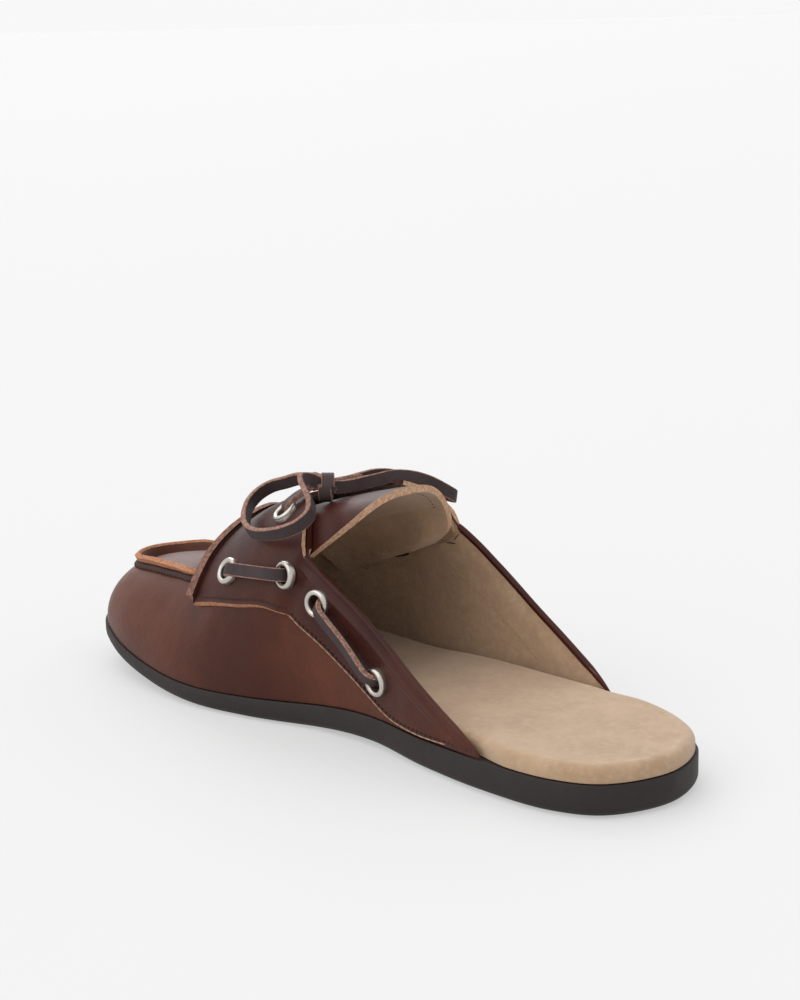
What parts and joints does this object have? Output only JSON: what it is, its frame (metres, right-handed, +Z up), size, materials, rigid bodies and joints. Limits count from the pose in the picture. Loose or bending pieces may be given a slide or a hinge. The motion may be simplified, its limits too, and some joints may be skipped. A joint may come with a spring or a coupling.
{
  "type": "leather moccasin mule",
  "caption": "Backless moccasin-toe mule for the right foot: leather upper with a saddle, eyelets and a tied thong, suede lining and footbed, thin rubber sole.",
  "frame": {"origin": "on the floor, at the middle of the tread under the heel", "axes": "+X towards the toe along the sole, +Y towards the inner side of the foot, which is the wearer's left, +Z up"},
  "size_m": [0.256, 0.0863, 0.0833],
  "materials": {
    "sole_rubber": "matte",
    "suede": "napped suede",
    "vamp_leather": "satin pull-up",
    "saddle_leather": "satin",
    "lace_leather": "matte",
    "nickel": "satin nickel"
  },
  "bodies": {
    "root": {"outsole": "sole_rubber", "footbed": "suede", "vamp": "vamp_leather", "apron": "vamp_leather", "saddle": "saddle_leather", "tongue": "suede", "eyelet_inner_front": "nickel", "eyelet_inner_corner": "nickel", "eyelet_inner_collar": "nickel", "eyelet_inner_wing": "nickel", "eyelet_inner_throat": "nickel", "eyelet_outer_front": "nickel", "eyelet_outer_corner": "nickel", "eyelet_outer_collar": "nickel", "eyelet_outer_wing": "nickel", "eyelet_outer_throat": "nickel", "lace_inner_front": "lace_leather", "lace_inner_collar": "lace_leather", "lace_outer_front": "lace_leather", "lace_outer_collar": "lace_leather", "lace_throat": "lace_leather", "bow_loop_inner": "lace_leather", "bow_loop_outer": "lace_leather", "bow_knot": "lace_leather"}
  },
  "joints": []
}
